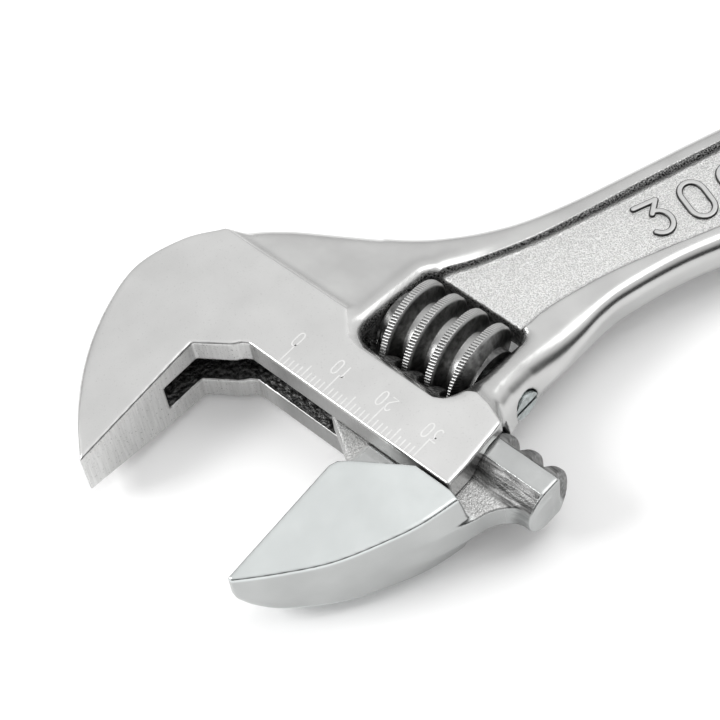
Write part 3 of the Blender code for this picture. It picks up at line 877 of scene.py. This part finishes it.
def make_camera():
    data = bpy.data.cameras.new("photo_camera")
    data.lens = CAMERA_LENS
    data.sensor_width = 36.0
    data.clip_start = 0.01
    camera = bpy.data.objects.new("photo_camera", data)
    bpy.context.collection.objects.link(camera)
    forward = Vector((math.sin(CAMERA_AZIMUTH) * math.cos(CAMERA_ELEVATION),
                      math.cos(CAMERA_AZIMUTH) * math.cos(CAMERA_ELEVATION), -math.sin(CAMERA_ELEVATION)))
    turn = forward.to_track_quat("-Z", "Y").to_matrix().to_4x4()
    roll = Matrix.Rotation(-CAMERA_ROLL, 4, "Z")
    camera.matrix_world = Matrix.Translation(CAMERA_TARGET - forward * CAMERA_DISTANCE) @ turn @ roll
    bpy.context.scene.camera = camera


def make_floor():
    bm = bmesh.new()
    bmesh.ops.create_grid(bm, x_segments=2, y_segments=2, size=FLOOR_SIZE)
    mesh = bpy.data.meshes.new("floor")
    bm.to_mesh(mesh)
    bm.free()
    floor = bpy.data.objects.new("floor", mesh)
    bpy.context.collection.objects.link(floor)
    floor.location.z = (HALF_HEAD - WORM_RADIUS - FLOOR_GAP) * MM
    shade = Shade("floor_white_paper", (0.92, 0.92, 0.92), 0.9, 0.0)
    fibre = shade.noise(0.0006, 4.0)
    shade.colour(shade.mix(fibre, (0.91, 0.91, 0.91), (0.93, 0.93, 0.93)))
    shade.shader.inputs["Specular IOR Level"].default_value = 0.1
    shade.shader.inputs["Emission Color"].default_value = (1.0, 1.0, 1.0, 1.0)
    shade.shader.inputs["Emission Strength"].default_value = FLOOR_GLOW
    floor.data.materials.append(shade.material)


def area_light(name, place, size, power):
    data = bpy.data.lights.new(name, "AREA")
    data.shape = "RECTANGLE"
    data.size, data.size_y = size
    data.energy = power
    light = bpy.data.objects.new(name, data)
    bpy.context.collection.objects.link(light)
    light.location = place
    light.rotation_euler = (-Vector(place)).to_track_quat("-Z", "Y").to_euler()


def make_world():
    """A soft studio: bright overhead and behind the wrench, dark low down in front."""
    world = bpy.data.worlds.new("studio")
    bpy.context.scene.world = world
    world.use_nodes = True
    tree = world.node_tree
    sky = tree.nodes.new("ShaderNodeTexCoord")
    split = tree.nodes.new("ShaderNodeSeparateXYZ")
    tree.links.new(sky.outputs["Generated"], split.inputs[0])
    front = tree.nodes.new("ShaderNodeVectorMath")
    front.operation = "DOT_PRODUCT"
    tree.links.new(sky.outputs["Generated"], front.inputs[0])
    front.inputs[1].default_value = FRONT
    share = tree.nodes.new("ShaderNodeMapRange")
    share.interpolation_type = "SMOOTHSTEP"
    share.inputs["From Min"].default_value = FRONT_SHARE[0]
    share.inputs["From Max"].default_value = FRONT_SHARE[1]
    tree.links.new(front.outputs["Value"], share.inputs["Value"])
    mixed = tree.nodes.new("ShaderNodeMix")
    mixed.data_type = "RGBA"
    tree.links.new(share.outputs[0], mixed.inputs[0])
    for socket, levels in zip(mixed.inputs[6:8], (BACK_WALL, FRONT_WALL)):
        ramp = tree.nodes.new("ShaderNodeValToRGB")
        tree.links.new(split.outputs["Z"], ramp.inputs[0])
        tree.links.new(ramp.outputs[0], socket)
        stops = ramp.color_ramp.elements
        stops[0].position, stops[1].position = levels[0][0], levels[-1][0]
        for height, _ in levels[1:-1]:
            stops.new(height)
        for stop, (_, level) in zip(stops, levels):
            stop.color = (level, level, level, 1.0)
    background = tree.nodes["Background"]
    tree.links.new(mixed.outputs[2], background.inputs["Color"])
    level = tree.nodes.new("ShaderNodeMath")
    level.operation = "MULTIPLY_ADD"
    tree.links.new(split.outputs["X"], level.inputs[0])
    level.inputs[1].default_value = BRIGHTER_RIGHT
    level.inputs[2].default_value = WORLD_STRENGTH
    tree.links.new(level.outputs[0], background.inputs["Strength"])


def make_light():
    make_world()
    area_light("overhead_softbox", (0.5, 0.06, 1.14), (0.7, 0.7), 2.4)
    area_light("left_softbox", (-0.95, 0.3, 0.8), (0.5, 0.5), 9.5)


def main():
    bpy.context.scene.view_settings.view_transform = "Standard"
    make_camera()
    make_floor()
    make_light()
    make_body()
    make_scale()
    make_size_figures()
    make_jaw()
    make_worm()
    finish_cad_nodes()


main()
